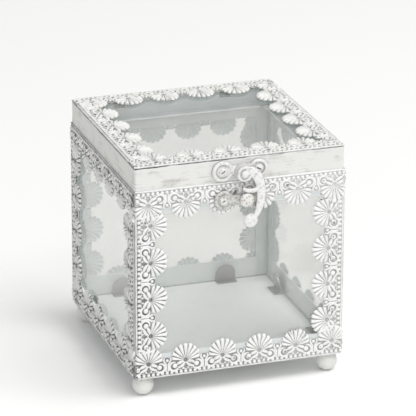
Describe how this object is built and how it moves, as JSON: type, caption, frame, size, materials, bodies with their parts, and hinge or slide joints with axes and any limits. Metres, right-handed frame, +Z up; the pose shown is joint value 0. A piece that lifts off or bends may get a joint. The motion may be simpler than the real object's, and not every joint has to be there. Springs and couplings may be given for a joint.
{
  "type": "glass keepsake box",
  "caption": "Square box of painted sheet metal and glass on ball feet, with a glazed hinged lid, stamped shell ribbon along its edges and a swinging hook catch.",
  "frame": {"origin": "centre of the whole object's footprint, on the surface that the ball feet stand on", "axes": "+X to the right of someone facing the catch, +Y towards the hinges at the back, +Z up"},
  "size_m": [0.12, 0.1294, 0.1324],
  "materials": {
    "frame_paint": "chalky white paint brushed on by hand and rubbed through at the edges",
    "ribbon_paint": "chalky white paint over stamped relief, grey in the hollows",
    "floor_paint": "flat pale grey-white paint",
    "foot_paint": "chalky white paint with streaks",
    "clear_glass": "clear float glass, slightly blue-green at its edges",
    "bare_steel": "bare sheet metal, dull",
    "catch_paint": "thick white paint on a cast catch, worn to grey at its rims",
    "knob_worn_brass": "white paint worn through to brass-coloured metal in specks",
    "screw_paint": "painted over with the catch, slots dark",
    "hinge_paint": "painted over with the frame",
    "pin_steel": "bare steel wire"
  },
  "bodies": {
    "box": {"bottom_rail_back": "frame_paint", "bottom_rail_front": "frame_paint", "bottom_rail_left": "frame_paint", "bottom_rail_right": "frame_paint", "corner_post_back_left": "frame_paint", "corner_post_back_right": "frame_paint", "corner_post_front_left": "frame_paint", "corner_post_front_right": "frame_paint", "floor_plate": "floor_paint", "foot_back_left": "foot_paint", "foot_back_right": "foot_paint", "foot_front_left": "foot_paint", "foot_front_right": "foot_paint", "hinge_leaf_body_left": "hinge_paint", "hinge_leaf_body_right": "hinge_paint", "hinge_pins": "pin_steel", "hinge_rivets_body": "hinge_paint", "latch_knob": "knob_worn_brass", "latch_plate_lower": "catch_paint", "latch_screws_lower": "screw_paint", "pane_back": "clear_glass", "pane_clips": "bare_steel", "pane_front": "clear_glass", "pane_left": "clear_glass", "pane_right": "clear_glass", "top_rail_back": "frame_paint", "top_rail_front": "frame_paint", "top_rail_left": "frame_paint", "top_rail_right": "frame_paint", "trim_back_bottom": "ribbon_paint", "trim_back_left": "ribbon_paint", "trim_back_right": "ribbon_paint", "trim_back_top": "ribbon_paint", "trim_front_bottom": "ribbon_paint", "trim_front_left": "ribbon_paint", "trim_front_right": "ribbon_paint", "trim_front_top": "ribbon_paint", "trim_left_bottom": "ribbon_paint", "trim_left_left": "ribbon_paint", "trim_left_right": "ribbon_paint", "trim_left_top": "ribbon_paint", "trim_right_bottom": "ribbon_paint", "trim_right_left": "ribbon_paint", "trim_right_right": "ribbon_paint", "trim_right_top": "ribbon_paint"},
    "lid": {"hinge_leaf_lid_left": "hinge_paint", "hinge_leaf_lid_right": "hinge_paint", "hinge_rivets_lid": "hinge_paint", "latch_pivot": "catch_paint", "latch_plate_upper": "catch_paint", "latch_screws_upper": "screw_paint", "lid_frame": "frame_paint", "lid_glass": "clear_glass", "lid_glass_tabs": "bare_steel", "lid_trim_back": "ribbon_paint", "lid_trim_front": "ribbon_paint", "lid_trim_left": "ribbon_paint", "lid_trim_right": "ribbon_paint"},
    "latch_hook": {"latch_hook": "catch_paint"}
  },
  "joints": [
    {"name": "lid_hinge", "type": "hinge", "parent": "box", "child": "lid", "pos_m": [0, 0.06143, 0.11825], "axis": [-1, 0, 0], "range_deg": [0, 105]},
    {"name": "hook_swing", "type": "hinge", "parent": "lid", "child": "latch_hook", "pos_m": [0.0006, -0.06137, 0.12335], "axis": [0, -1, 0], "range_deg": [0, 100]}
  ]
}
